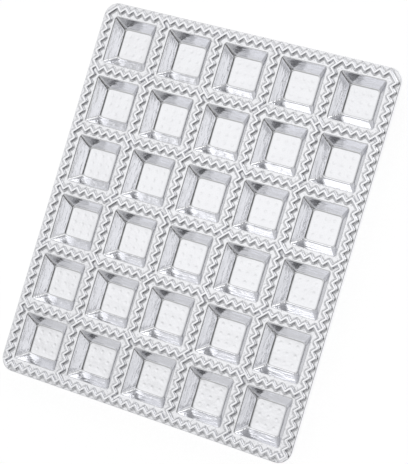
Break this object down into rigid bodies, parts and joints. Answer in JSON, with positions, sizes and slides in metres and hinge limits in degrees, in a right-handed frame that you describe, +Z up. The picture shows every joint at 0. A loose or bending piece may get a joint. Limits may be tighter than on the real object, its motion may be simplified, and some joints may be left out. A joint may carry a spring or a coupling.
{
  "type": "ravioli mold",
  "caption": "Flat rectangular cast tray of square sloping pockets, each fenced by a raised zigzag ridge that cuts the dough.",
  "frame": {"origin": "middle of the tray, in the plane of the pockets' undersides on which it stands", "axes": "+X across the columns, +Y along the rows towards the far row, +Z up out of the pockets"},
  "size_m": [0.203, 0.242, 0.0115],
  "materials": {
    "cast_aluminium": "bright tumbled casting"
  },
  "bodies": {
    "root": {"ravioli_mould": "cast_aluminium"}
  },
  "joints": []
}
